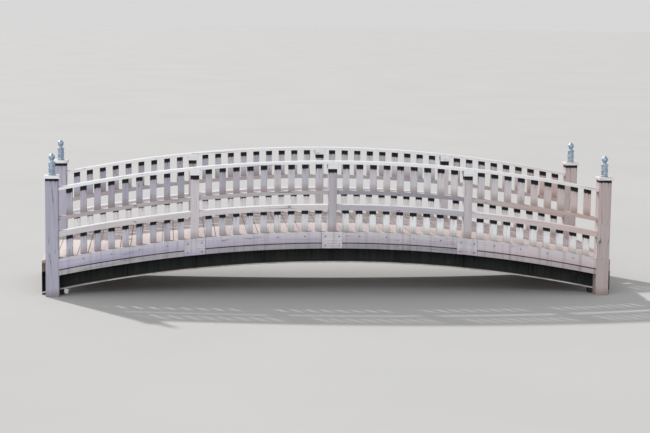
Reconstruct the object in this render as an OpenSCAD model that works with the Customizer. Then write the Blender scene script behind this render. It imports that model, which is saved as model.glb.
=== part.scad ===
// Low arched garden bridge: two curved steel girders carry a crosswise timber deck,
// a fascia on each side and two baluster railings between capped newel posts.
// X runs along the bridge, Y across it, Z up. The origin is on the ground, midway
// between the four corners. Every long member follows one arc, shifted up or down.

/* [Arch and bays] */
// Number of railing bays between the end newels
bays = 4; // [2:1:6]
// Length of one bay, post centre to post centre
bay_len = 1905; // [1200:5:2400]
// Rise of the arc from the ends of the railing bays to the crown
rise = 385; // [200:5:700]
// Distance between the two railing centre lines
rail_gap = 2000; // [1400:10:2600]
// How far the end newels stand outside the railing bays, so that all gaps look alike
newel_out = 45; // [0:1:60]
// How far the deck and the girders run past the newel centres
end_run = 155; // [120:5:400]

/* [Girders] */
// Height of each curved girder
girder_d = 300; // [200:5:420]
// Width of the girder flanges
flange_w = 130; // [80:5:200]
// Thickness of the girder flanges
flange_t = 18; // [8:1:30]
// Thickness of the girder web
web_t = 12; // [6:1:20]
// Thickness of the stiffener plates on the web
stiffener_t = 12; // [6:1:20]
// Least thickness of the wedge shoe under each girder end
shoe_t = 20; // [10:1:60]
// Length of a wedge shoe along the girder
shoe_len = 300; // [200:10:450]
// How far a wedge shoe stays back from the edges of the flange
shoe_inset = 5; // [0:1:25]

/* [Cross beams] */
// Height of the channel cross beams
cross_d = 180; // [100:5:240]
// Width of the cross beam flanges
cross_flange = 60; // [30:5:90]
// Thickness of the cross beam plates
cross_t = 8; // [5:1:14]

/* [Deck timbers] */
// Thickness of the deck
deck_t = 45; // [30:1:70]
// Height of the nailers between girders and deck
nailer_d = 115; // [60:5:180]
// Width of the nailers and of the middle stringer
nailer_w = 90; // [45:5:120]
// Width of the rim beams under the deck edges
rim_w = 88; // [45:1:110]

/* [Fascia] */
// Height of the fascia board
fascia_h = 150; // [100:5:220]
// Thickness of the fascia board
fascia_t = 45; // [25:1:60]
// Height of the open groove under the fascia board
groove_h = 16; // [5:1:25]
// Height of the lower strip
lip_h = 66; // [30:1:90]
// How far the lower strip stands proud of the fascia board
lip_out = 5; // [1:1:20]
// Length of the block that covers each fascia joint
splice_len = 290; // [200:5:400]

/* [Newels] */
// Width of the square newel posts
newel_w = 180; // [140:2:240]
// How far the newel timber stands above the top rail
newel_rise = 133; // [60:1:250]
// Width of the bevel on the newel corners
newel_bevel = 12; // [4:1:30]
// Width of the plate on top of a newel
cap_w = 220; // [200:1:300]
// Thickness of the plate on top of a newel
cap_t = 40; // [25:1:60]
// Width of the bevel round the top of the plate
cap_bevel = 14; // [4:1:20]

/* [Finials] */
// Radius of the drum of a finial
drum_r = 45; // [35:1:60]
// Height of the drum of a finial
drum_h = 180; // [120:1:220]
// Radius of the neck between drum and bulb
neck_r = 26; // [20:1:34]
// Height of the neck
neck_h = 30; // [15:1:40]
// Radius of the bulb
bulb_r = 44; // [38:1:52]
// Height of the pointed tip above the bulb's middle
tip_h = 60; // [54:1:80]
// Share of the bulb's radius between its middle and its flat seat
bulb_sunk = 0.8; // [0.4:0.02:0.86]
// Height of the raised bands
band_h = 22; // [10:1:30]
// How far the raised bands stand out
band_out = 7; // [2:1:10]

/* [Posts and saddles] */
// Width of a middle post along the railing
post_w = 116; // [100:2:150]
// Depth of a middle post across the railing
post_d = 150; // [144:2:170]
// Width of the saddle block on a post
saddle_w = 146; // [120:2:200]
// Height of the saddle block
saddle_h = 87; // [60:1:110]
// How far the saddle block stands out past the top rail on each side
saddle_out = 20; // [8:1:35]
// How deep the top rail is let into the saddle block
let_in = 23; // [10:1:35]
// Thickness of the plate that bolts a post foot to its girder
cleat_t = 15; // [8:1:20]
// Width of that plate
cleat_w = 100; // [60:5:110]

/* [Rails] */
// Height of the top rail's upper face above the deck
rail_h = 984; // [860:1:1015]
// Thickness of the top rail
top_t = 42; // [30:1:60]
// Width of the open joint between two lengths of top rail
joint_gap = 3; // [1:1:8]
// Width of the top rail
top_w = 140; // [110:2:160]
// Width of the bevel on the top rail's upper edges
top_bevel = 9; // [3:1:20]
// Height of the upper middle rail's upper face above the deck
upper_mid_h = 574; // [520:1:620]
// Thickness of the upper middle rail
upper_mid_t = 54; // [30:1:70]
// Width of the upper middle rail
upper_mid_w = 104; // [92:2:130]
// Height of the lower middle rail's upper face above the deck
lower_mid_h = 376; // [300:1:420]
// Thickness of the lower middle rail
lower_mid_t = 78; // [30:1:90]
// Width of the lower middle rail
lower_mid_w = 140; // [92:2:142]

/* [Balusters] */
// Balusters in one bay
per_bay = 9; // [5:1:11]
// Width of a square baluster
baluster_w = 89; // [60:1:100]

/* [Hidden] */
// Facets of the long arc
arc_fn = 720;
// Facets of the turned finials
turn_fn = 64;

half_len = bays * bay_len / 2;
newel_mid = half_len + newel_out;
end_x = newel_mid + end_run;
arc_r = (half_len * half_len + rise * rise) / (2 * rise);

// Drop of the arc below its crown at a distance x from the middle
function drop(x) = arc_r - sqrt(arc_r * arc_r - x * x);

// Heights at the crown of the arc
girder_low = shoe_t + drop(end_x);
girder_top = girder_low + girder_d;
deck_top = girder_top + nailer_d + deck_t;
deck_low = deck_top - deck_t;
fascia_low = deck_top - fascia_h;
lip_top = fascia_low - groove_h;
lip_low = lip_top - lip_h;
top_high = deck_top + rail_h;
top_low = top_high - top_t;
newel_top = top_high + newel_rise - drop(half_len);
saddle_top = top_low + let_in;
saddle_low = saddle_top - saddle_h;
upper_mid_top = deck_top + upper_mid_h;
upper_mid_low = upper_mid_top - upper_mid_t;
lower_mid_top = deck_top + lower_mid_h;
lower_mid_low = lower_mid_top - lower_mid_t;
cross_top = girder_top - flange_t;

// Distances from the middle plane of the bridge
rail_y = rail_gap / 2;
deck_y = rail_y + baluster_w / 2;
fascia_y = deck_y + fascia_t;
newel_y = rail_y - newel_w / 2;
post_y = rail_y - post_d / 2;
girder_y = newel_y - flange_w / 2;
web_y = girder_y - web_t / 2;

// Places along the bridge
newel_x = newel_mid - newel_w / 2;
posts_x = [for (i = [1 : bays - 1]) i * bay_len - half_len];
frames_x = [for (i = [0 : 2 * bays]) i * bay_len / 2 - half_len];
balusters_x = [for (b = [0 : bays - 1], k = [1 : per_bay])
    b * bay_len - half_len + k * bay_len / (per_bay + 1)];

WOOD = "#a9a3a6";
PALE_WOOD = "#c9c2c1";
DECK_WOOD = "#b79c8a";
STEEL = "#3a3733";
CAP_METAL = "#9fb0bd";

// Outline of a strip that follows the arc, its heights given at the crown
// Both circles are turned so that a facet corner falls on the strip's highest and lowest point
module arc_outline(low, high, x0, x1) {
    near_end = x0 * x1 <= 0 ? 0 : abs(x0) < abs(x1) ? x0 : x1;
    far_end = x0 == -x1 ? 0 : abs(x0) > abs(x1) ? x0 : x1;
    difference() {
        intersection() {
            translate([0, high - arc_r])
                rotate(-asin(near_end / arc_r)) circle(arc_r, $fn = arc_fn);
            translate([x0, low - drop(end_x)]) square([x1 - x0, high - low + drop(end_x)]);
        }
        translate([0, low - arc_r])
            rotate(-asin(far_end / arc_r)) circle(arc_r, $fn = arc_fn);
    }
}

// Strip that follows the arc from x0 to x1 and fills y0 to y1
module arc_strip(low, high, x0, x1, y0, y1) {
    translate([0, y1, 0])
        rotate([90, 0, 0])
        linear_extrude(y1 - y0) arc_outline(low, high, x0, x1);
}

// Short piece that is flat below at z0 and reaches up to the arc at both of its ends
module wedge(z0, high, x0, x1, y0, y1) {
    translate([0, y1, 0])
        rotate([90, 0, 0])
        linear_extrude(y1 - y0)
        polygon([[x0, z0], [x1, z0], [x1, high - drop(x1)], [x0, high - drop(x0)]]);
}

// Shows the near side as modelled, or the far side as its mirror image
module side(far) {
    mirror([0, far ? 1 : 0, 0]) children();
}

// One strip in each bay, which stays back from the post centres and touches the newels
module bay_strips(low, high, y0, y1, post_gap) {
    for (b = [0 : bays - 1]) {
        x0 = b == 0 ? -newel_x : posts_x[b - 1] + post_gap;
        x1 = b == bays - 1 ? newel_x : posts_x[b] - post_gap;
        arc_strip(low, high, x0, x1, y0, y1);
    }
}

// Curved girder; web and stiffeners run into the middle of both flanges
module girder() {
    web_low = girder_low + flange_t / 2;
    web_high = girder_top - flange_t / 2;
    end_plates_x = [for (s = [-1, 1]) s * (end_x - stiffener_t / 2)];
    color(STEEL) {
        for (low = [girder_low, cross_top])
            arc_strip(low, low + flange_t, -end_x, end_x,
                -girder_y - flange_w / 2, -girder_y + flange_w / 2);
        arc_strip(web_low, web_high, -end_x, end_x,
            -girder_y - web_t / 2, -girder_y + web_t / 2);
        for (x = concat(frames_x, end_plates_x))
            arc_strip(web_low, web_high, x - stiffener_t / 2, x + stiffener_t / 2,
                -girder_y - flange_w / 2, -girder_y + flange_w / 2);
    }
}

// Wedges that bring both girders to the ground at one end of the bridge
module bearing_shoes(s) {
    x0 = s > 0 ? end_x - shoe_len : -end_x;
    half_w = flange_w / 2 - shoe_inset;
    color(STEEL)
        for (y = [-girder_y, girder_y])
            wedge(0, girder_low, x0, x0 + shoe_len, y - half_w, y + half_w);
}

// Channel across the bridge, bolted to one face of the girder stiffeners
module cross_beam(x) {
    face = x + stiffener_t / 2;
    arc_strip(cross_top - cross_d, cross_top, face, face + cross_t, -web_y, web_y);
    arc_strip(cross_top - cross_t, cross_top, face, face + cross_flange, -web_y, web_y);
    arc_strip(cross_top - cross_d, cross_top - cross_d + cross_t,
        face, face + cross_flange, -web_y, web_y);
}

module cross_beams() {
    color(STEEL) for (x = frames_x) cross_beam(x);
}

module nailer() {
    color(WOOD)
        arc_strip(girder_top, deck_low, -end_x, end_x,
            -girder_y - nailer_w / 2, -girder_y + nailer_w / 2);
}

module middle_stringer() {
    color(WOOD)
        arc_strip(cross_top, deck_low, -end_x, end_x, -nailer_w / 2, nailer_w / 2);
}

module rim_beam() {
    color(WOOD)
        bay_strips(lip_low, deck_low, -deck_y, -deck_y + rim_w, post_w / 2);
}

module post_cleats() {
    color(STEEL)
        for (x = posts_x)
            translate([x - cleat_w / 2, -post_y, lip_low - drop(x)])
            cube([cleat_w, cleat_t, deck_low - lip_low - cleat_t]);
}

module deck() {
    color(DECK_WOOD)
        difference() {
            union() {
                arc_strip(deck_low, deck_top, -newel_x, newel_x, -deck_y, deck_y);
                arc_strip(deck_low, deck_top, -end_x, end_x, -newel_y, newel_y);
            }
            for (x = posts_x, s = [-1, 1])
                translate([x - post_w / 2, s > 0 ? post_y : -post_y - post_d, 0])
                    cube([post_w, post_d, top_high]);
        }
}

module fascia() {
    color(PALE_WOOD)
        bay_strips(fascia_low, deck_top, -fascia_y, -deck_y, splice_len / 2);
}

module lower_strip() {
    color(PALE_WOOD)
        bay_strips(lip_low, lip_top, -fascia_y - lip_out, -deck_y, splice_len / 2);
}

module splice_blocks() {
    color(PALE_WOOD)
        for (x = posts_x)
            arc_strip(lip_low, deck_top, x - splice_len / 2, x + splice_len / 2,
                -fascia_y - lip_out, -deck_y);
}

// Square of a given width with bevelled corners
module bevelled_square(width, bevel) {
    half = width / 2;
    flat = half - bevel;
    polygon([[-half, -flat], [-flat, -half], [flat, -half], [half, -flat],
        [half, flat], [flat, half], [-flat, half], [-half, flat]]);
}

// Newel that stands on the ground beside the girder end; only its upper part is bevelled
module newel(s) {
    bevel_z = deck_top;
    color(WOOD)
        translate([s * newel_mid, -rail_y, 0]) {
            translate([-newel_w / 2, -newel_w / 2, 0]) cube([newel_w, newel_w, bevel_z]);
            linear_extrude(newel_top) bevelled_square(newel_w, newel_bevel);
        }
}

// Plate with a bevelled top edge on all four sides
module cap_outline() {
    half = cap_w / 2;
    polygon([[-half, 0], [half, 0], [half, cap_t - cap_bevel], [half - cap_bevel, cap_t],
        [cap_bevel - half, cap_t], [-half, cap_t - cap_bevel]]);
}

module cap(s) {
    color(PALE_WOOD)
        translate([s * newel_mid, -rail_y, newel_top])
        intersection() {
            translate([0, cap_w / 2, 0])
                rotate([90, 0, 0]) linear_extrude(cap_w) cap_outline();
            translate([-cap_w / 2, 0, 0])
                rotate([90, 0, 90]) linear_extrude(cap_w) cap_outline();
        }
}

// Half outline of a finial: drum with three bands, neck, and a bulb that ends in a point
module finial_outline() {
    bulb_z = drum_h + neck_h + bulb_r * bulb_sunk;
    tip_from = bulb_r * bulb_r / tip_h;
    square([drum_r, drum_h]);
    for (z = [0, (drum_h - band_h) / 2, drum_h - band_h])
        translate([0, z]) square([drum_r + band_out, band_h]);
    square([neck_r, drum_h + neck_h]);
    translate([0, bulb_z]) {
        intersection() {
            circle(bulb_r, $fn = turn_fn);
            translate([0, -bulb_r * bulb_sunk]) square([bulb_r, bulb_r * bulb_sunk + tip_from]);
        }
        polygon([[0, tip_from], [sqrt(bulb_r * bulb_r - tip_from * tip_from), tip_from],
            [0, tip_h]]);
    }
}

module finial(s) {
    color(CAP_METAL)
        translate([s * newel_mid, -rail_y, newel_top + cap_t])
        rotate_extrude($fn = turn_fn) finial_outline();
}

// Middle posts, cut back below the deck so that the fascia passes in front
module middle_posts() {
    color(WOOD)
        for (x = posts_x)
            difference() {
                translate([x - post_w / 2, -post_y - post_d, lip_low - drop(x)])
                    cube([post_w, post_d, saddle_low - lip_low]);
                arc_strip(lip_low - bay_len, deck_top, x - post_w, x + post_w,
                    -fascia_y - lip_out, -deck_y);
            }
}

// Blocks on the middle posts: a seat under the top rail and a cheek on each side of it
module saddles() {
    color(PALE_WOOD)
        for (x = posts_x) {
            x0 = x - saddle_w / 2;
            z0 = saddle_low - drop(x);
            wedge(z0, top_low, x0, x0 + saddle_w, -rail_y - top_w / 2, -rail_y + top_w / 2);
            for (y = [-rail_y - top_w / 2 - saddle_out, -rail_y + top_w / 2])
                translate([x0, y, z0]) cube([saddle_w, saddle_out, saddle_h]);
        }
}

// Ring of the arc's radius with a bevelled outer edge, whose top is the top rail's upper face
module bevelled_ring() {
    half = top_w / 2;
    translate([0, -rail_y, top_high - arc_r])
        rotate([90, 0, 0])
        rotate_extrude($fn = arc_fn)
        translate([arc_r, 0])
        polygon([[-2 * top_t, -half], [-top_bevel, -half], [0, top_bevel - half],
            [0, half - top_bevel], [-top_bevel, half], [-2 * top_t, half]]);
}

// Top rail in one length a bay, with an open joint over each middle post
module top_rail() {
    color(PALE_WOOD)
        intersection() {
            bay_strips(top_low, top_high + top_t, -rail_y - top_w, -rail_y + top_w,
                joint_gap / 2);
            bevelled_ring();
        }
}

module upper_mid_rail() {
    color(WOOD)
        bay_strips(upper_mid_low, upper_mid_top, -rail_y - upper_mid_w / 2,
            -rail_y + upper_mid_w / 2, post_w / 2);
}

module lower_mid_rail() {
    color(WOOD)
        bay_strips(lower_mid_low, lower_mid_top, -rail_y - lower_mid_w / 2,
            -rail_y + lower_mid_w / 2, post_w / 2);
}

// Row of square balusters cut to the arc at both ends
module balusters(low, high) {
    color(WOOD)
        for (x = balusters_x)
            arc_strip(low, high, x - baluster_w / 2, x + baluster_w / 2,
                -rail_y - baluster_w / 2, -rail_y + baluster_w / 2);
}

side(false) girder();  // near_girder
side(true) girder();  // far_girder
bearing_shoes(-1);  // left_bearing_shoes
bearing_shoes(1);  // right_bearing_shoes
cross_beams();
side(false) nailer();  // near_nailer
side(true) nailer();  // far_nailer
middle_stringer();
side(false) rim_beam();  // near_rim_beam
side(true) rim_beam();  // far_rim_beam
side(false) post_cleats();  // near_post_cleats
side(true) post_cleats();  // far_post_cleats
deck();
side(false) fascia();  // near_fascia
side(true) fascia();  // far_fascia
side(false) lower_strip();  // near_lower_strip
side(true) lower_strip();  // far_lower_strip
side(false) splice_blocks();  // near_splice_blocks
side(true) splice_blocks();  // far_splice_blocks
side(false) newel(-1);  // near_left_newel
side(false) newel(1);  // near_right_newel
side(true) newel(-1);  // far_left_newel
side(true) newel(1);  // far_right_newel
side(false) cap(-1);  // near_left_cap
side(false) cap(1);  // near_right_cap
side(true) cap(-1);  // far_left_cap
side(true) cap(1);  // far_right_cap
side(false) finial(-1);  // near_left_finial
side(false) finial(1);  // near_right_finial
side(true) finial(-1);  // far_left_finial
side(true) finial(1);  // far_right_finial
side(false) middle_posts();  // near_posts
side(true) middle_posts();  // far_posts
side(false) saddles();  // near_saddles
side(true) saddles();  // far_saddles
side(false) top_rail();  // near_top_rail
side(true) top_rail();  // far_top_rail
side(false) upper_mid_rail();  // near_upper_mid_rail
side(true) upper_mid_rail();  // far_upper_mid_rail
side(false) lower_mid_rail();  // near_lower_mid_rail
side(true) lower_mid_rail();  // far_lower_mid_rail
side(false) balusters(upper_mid_top, top_low);  // near_upper_balusters
side(true) balusters(upper_mid_top, top_low);  // far_upper_balusters
side(false) balusters(deck_top, lower_mid_low);  // near_lower_balusters
side(true) balusters(deck_top, lower_mid_low);  // far_lower_balusters
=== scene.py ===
"""Looks of a low arched timber footbridge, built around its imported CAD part.

Every long timber and every row is made straight, at the height it has at the crown, and a
Geometry Nodes group then lowers it to the arch. Units are metres, X runs along the bridge,
Y across it and Z up; "near" is the side with negative Y.
"""
import math
import random

import bmesh
import bpy
from mathutils import Matrix, Vector


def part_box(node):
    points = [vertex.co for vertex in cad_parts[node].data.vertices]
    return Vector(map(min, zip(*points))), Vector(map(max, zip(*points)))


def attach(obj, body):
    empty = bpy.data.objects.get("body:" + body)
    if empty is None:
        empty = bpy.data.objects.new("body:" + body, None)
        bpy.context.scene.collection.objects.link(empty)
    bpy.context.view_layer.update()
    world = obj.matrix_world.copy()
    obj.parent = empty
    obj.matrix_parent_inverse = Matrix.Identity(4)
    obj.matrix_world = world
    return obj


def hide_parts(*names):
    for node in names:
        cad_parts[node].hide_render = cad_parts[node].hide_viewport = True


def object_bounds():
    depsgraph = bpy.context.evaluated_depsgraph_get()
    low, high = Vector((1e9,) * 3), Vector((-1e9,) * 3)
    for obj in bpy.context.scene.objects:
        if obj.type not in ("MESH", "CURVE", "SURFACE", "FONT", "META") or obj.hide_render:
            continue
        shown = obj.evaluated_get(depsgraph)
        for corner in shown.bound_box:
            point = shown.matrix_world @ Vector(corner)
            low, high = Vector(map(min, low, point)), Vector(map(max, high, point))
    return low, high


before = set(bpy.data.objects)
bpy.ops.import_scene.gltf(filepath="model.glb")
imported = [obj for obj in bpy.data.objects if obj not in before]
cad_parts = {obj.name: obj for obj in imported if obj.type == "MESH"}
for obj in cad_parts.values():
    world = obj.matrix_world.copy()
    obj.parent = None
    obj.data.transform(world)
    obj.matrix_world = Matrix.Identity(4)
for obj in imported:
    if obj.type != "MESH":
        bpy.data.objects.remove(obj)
CAD_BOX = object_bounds()

bl_info = {
    "name": "Arched timber footbridge",
    "version": (1, 0, 0),
    "blender": (4, 5, 0),
    "location": "View3D > Sidebar > Footbridge",
    "description": "Dresses the packed bridge in weathered timber, painted steel and zinc",
    "category": "Object",
}

MM = 0.001
SIDES = (("near", -1), ("far", 1))
# Each newel's name with the number that sets its random draws apart
CORNERS = [(f"{side}_{end}", y * 2 + x) for side, y in SIDES
           for end, x in (("left", -1), ("right", 1))]
BAYS = 4
PER_BAY = 9
BOARDS_PER_BAY = 13
# Longest straight stretch of a bent timber
BEND_STEP = 0.12
SADDLE_TALL = 87 * MM

# Sizes that the frame gives
DECK_LO, DECK_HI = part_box("deck")
NEWEL_LO, NEWEL_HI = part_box("far_right_newel")
POSTS_LO, POSTS_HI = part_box("far_posts")
SADDLES_LO, SADDLES_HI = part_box("far_saddles")
BALUSTERS_LO, BALUSTERS_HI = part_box("far_upper_balusters")
DECK_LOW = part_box("near_nailer")[1].z
DECK_TOP = DECK_HI.z
END_X = DECK_HI.x
NEWEL_X = NEWEL_LO.x
NEWEL_W = NEWEL_HI.x - NEWEL_LO.x
RAIL_Y = (NEWEL_LO.y + NEWEL_HI.y) / 2
END_DROP = DECK_LOW - DECK_LO.z
ARC_R = (END_X ** 2 + END_DROP ** 2) / (2 * END_DROP)
BALUSTER_HALF = (BALUSTERS_HI.y - BALUSTERS_LO.y) / 2
# The last baluster stands one pitch short of the end of the last bay
HALF_LEN = (BALUSTERS_HI.x - BALUSTER_HALF) / (1 - 2 / (BAYS * (PER_BAY + 1)))
BAY_LEN = 2 * HALF_LEN / BAYS
BALUSTER_PITCH = BAY_LEN / (PER_BAY + 1)
BOARD_PITCH = BAY_LEN / BOARDS_PER_BAY
POST_XS = [i * BAY_LEN - HALF_LEN for i in range(1, BAYS)]
POST_HALF = POSTS_HI.x - POST_XS[-1]
BLOCK_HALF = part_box("far_splice_blocks")[1].x - POST_XS[-1]


def drop(x):
    """How far the arch lies below its crown at a distance x from the middle."""
    return ARC_R - math.sqrt(ARC_R ** 2 - x * x)


def at_crown(node):
    """Span across, and heights at the crown, of a node that follows the arch."""
    lo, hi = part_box(node)
    return lo.y, hi.y, lo.z + drop(hi.x), hi.z


def tall(node):
    """Height of a node that follows the arch."""
    _, _, low, high = at_crown(node)
    return high - low


def middle(node):
    """Middle of a node's box."""
    return [(a + b) / 2 for a, b in zip(*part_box(node))]


GIRDER_Y = middle("far_girder")[1]
_, _, GIRDER_LOW, GIRDER_TOP = at_crown("far_girder")
_, _, LIP_LOW, _ = at_crown("far_lower_strip")
SADDLE_LOW = SADDLES_HI.z - SADDLE_TALL


def linear(code):
    """Turns an sRGB hex colour into the linear red, green and blue that Blender works with."""
    parts = [int(code[i:i + 2], 16) / 255 for i in (1, 3, 5)]
    return tuple(c / 12.92 if c <= 0.04045 else ((c + 0.055) / 1.055) ** 2.4 for c in parts)


def colour(name, description, code):
    """Property for a finish colour."""
    return bpy.props.FloatVectorProperty(
        name=name, description=description, subtype="COLOR", size=3, min=0, max=1,
        default=linear(code))


def number(name, description, default, low, high, unit="LENGTH"):
    """Property for a length, or for a plain number with the unit NONE."""
    return bpy.props.FloatProperty(
        name=name, description=description, default=default, min=low, max=high, unit=unit)


class TimberSizes(bpy.types.PropertyGroup):
    """Sizes of the timbers that the frame leaves open."""
    board_width: number("Board width", "Width of a deck board", 140 * MM, 0.08, 0.2)
    arris: number("Arris", "Rounding on the edges of planed timbers", 4 * MM, 0.001, 0.01)
    rough_arris: number("Rough arris", "Rounding on the edges of sawn timbers", 3 * MM,
                        0.001, 0.01)
    play: number("Play", "How far a baluster stands off its line", 1.5 * MM, 0, 0.004)


class FixingSizes(bpy.types.PropertyGroup):
    """Sizes of bolts and screws."""
    bolt_width: number("Bolt width", "Width of a hexagon head across its flats", 24 * MM,
                       0.01, 0.04)
    dome_width: number("Dome width", "Width of a coach bolt's domed head", 30 * MM,
                       0.01, 0.04)
    screw_width: number("Screw width", "Width of a deck screw's head", 11 * MM, 0.005, 0.02)


class FinishColours(bpy.types.PropertyGroup):
    """Colours of the finishes."""
    grey_timber: colour("Grey timber", "Weathered timber in shade", "#9d99a1")
    pale_timber: colour("Pale timber", "Weathered timber in the open", "#c8c1c3")
    bleached: colour("Bleached timber", "Faces that the sky has bleached", "#e2e3e5")
    board: colour("Deck board", "Dry, walked timber of the deck", "#c0b0ab")
    # Near black: the girders' paint, darkened further as painted shade under the deck
    steel_paint: colour("Steel paint", "Dark oil paint of the girders", "#0e1010")
    zinc: colour("Zinc", "Oxidised zinc sheet of the finials", "#8496a8")


class StageSettings(bpy.types.PropertyGroup):
    """Light and floor."""
    key: number("Key light", "Strength of the high light from behind", 2.9, 0, 6, "NONE")
    fill: number("Fill light", "Strength of the very soft light from the front", 1.15, 0, 6,
                 "NONE")
    sky: number("Sky", "Strength of the even light from all round", 0.5, 0, 2, "NONE")
    backdrop: number("Backdrop", "Brightness of the backdrop that the camera sees", 0.69, 0, 1,
                     "NONE")
    floor: colour("Floor", "Plain pale floor", "#c3c3c2")


# Nodes. A Math node takes its operands in order, a Map Range node its value, the range that
# comes in and the range that goes out, and a Noise node its vector, W, scale, detail and
# roughness.

MATH = "ShaderNodeMath"
RANGE = "ShaderNodeMapRange"
NOISE = "ShaderNodeTexNoise"
SPLIT = "ShaderNodeSeparateXYZ"
MERGE = "ShaderNodeCombineXYZ"
MIX_A, MIX_B, MIX_OUT = 6, 7, 2


def add(tree, kind, inputs=(), out=0, **settings):
    """Adds one node with its settings, fills or links its inputs, and gives an output.

    inputs: in the node's own order, where None leaves one as it is, or a dict of names or
        numbers
    out: name or number of the output to give; None gives them all
    """
    node = tree.nodes.new(kind)
    for key, value in settings.items():
        setattr(node, key, value)
    for key, value in inputs.items() if isinstance(inputs, dict) else enumerate(inputs):
        if isinstance(value, bpy.types.NodeSocket):
            tree.links.new(value, node.inputs[key])
        elif value is not None:
            node.inputs[key].default_value = value
    return node.outputs if out is None else node.outputs[out]


def arch_fall(tree, x, radius):
    """How far the arch lies below its crown at x."""
    squares = [add(tree, MATH, (side, side), operation="MULTIPLY") for side in (radius, x)]
    under_root = add(tree, MATH, squares, operation="SUBTRACT")
    root = add(tree, MATH, (under_root,), operation="SQRT")
    return add(tree, MATH, (radius, root), operation="SUBTRACT")


def arch_coordinates(tree):
    """Object coordinates with the arch taken out, so that X follows a bent timber."""
    x, y, z = add(tree, SPLIT, (add(tree, "ShaderNodeTexCoord", out="Object"),), None)
    level = add(tree, MATH, (z, arch_fall(tree, x, ARC_R)), operation="ADD")
    return add(tree, MERGE, (x, y, level))


def drawn_out(tree, place, sizes, detail, roughness):
    """A streaky pattern; sizes are the lengths of its streaks along the three axes."""
    stretched = add(tree, "ShaderNodeVectorMath", (place, [1 / size for size in sizes]),
                    operation="MULTIPLY")
    return add(tree, NOISE, (stretched, None, 1.0, detail, roughness))


def ragged(tree, value, *patterns):
    """A value that patterns shift, each by its reach, so that its edge comes out ragged."""
    for pattern, reach in patterns:
        value = add(tree, MATH, (pattern, reach, value), operation="MULTIPLY_ADD")
    return value


def cover(tree, parts):
    """Parts multiplied together; a tuple is a value, its range, and the range it becomes."""
    total = 1.0
    for part in parts:
        part = add(tree, RANGE, part) if isinstance(part, tuple) else part
        total = add(tree, MATH, (total, part), operation="MULTIPLY")
    return total


def rgba(tint):
    """Linear colour of a hex code, of a user's colour by its name, or of its own parts."""
    if isinstance(tint, str):
        is_code = tint.startswith("#")
        tint = linear(tint) if is_code else getattr(bpy.context.scene.bridge_colours, tint)
    return (*tint, 1)


def weathered(tree, base, layers):
    """Lays stains and bleaching over a base colour: each is a colour and its cover's parts."""
    paint = rgba(base)
    for tint, *parts in layers:
        inputs = {0: cover(tree, parts), MIX_A: paint, MIX_B: rgba(tint)}
        paint = add(tree, "ShaderNodeMix", inputs, MIX_OUT, data_type="RGBA")
    return paint


def new_finish(name):
    """A material with nothing on it yet, its tree and its object coordinates."""
    material = bpy.data.materials.new(name)
    material.use_nodes = True
    tree = material.node_tree
    return material, tree, add(tree, "ShaderNodeTexCoord", out="Object")


def coat(tree, paint, roughness, relief, strength, depth):
    """Gives the shader its colour, its roughness and a relief of the given depth."""
    shader = tree.nodes["Principled BSDF"]
    bump = add(tree, "ShaderNodeBump", {"Height": relief, "Strength": strength,
                                        "Distance": depth})
    for name, value in (("Base Color", paint), ("Roughness", roughness), ("Normal", bump)):
        tree.links.new(value, shader.inputs[name])
    return shader


# Materials

# Width of a fibre streak, coarser than real fibres so that it shows
FIBRE = 14 * MM


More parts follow.
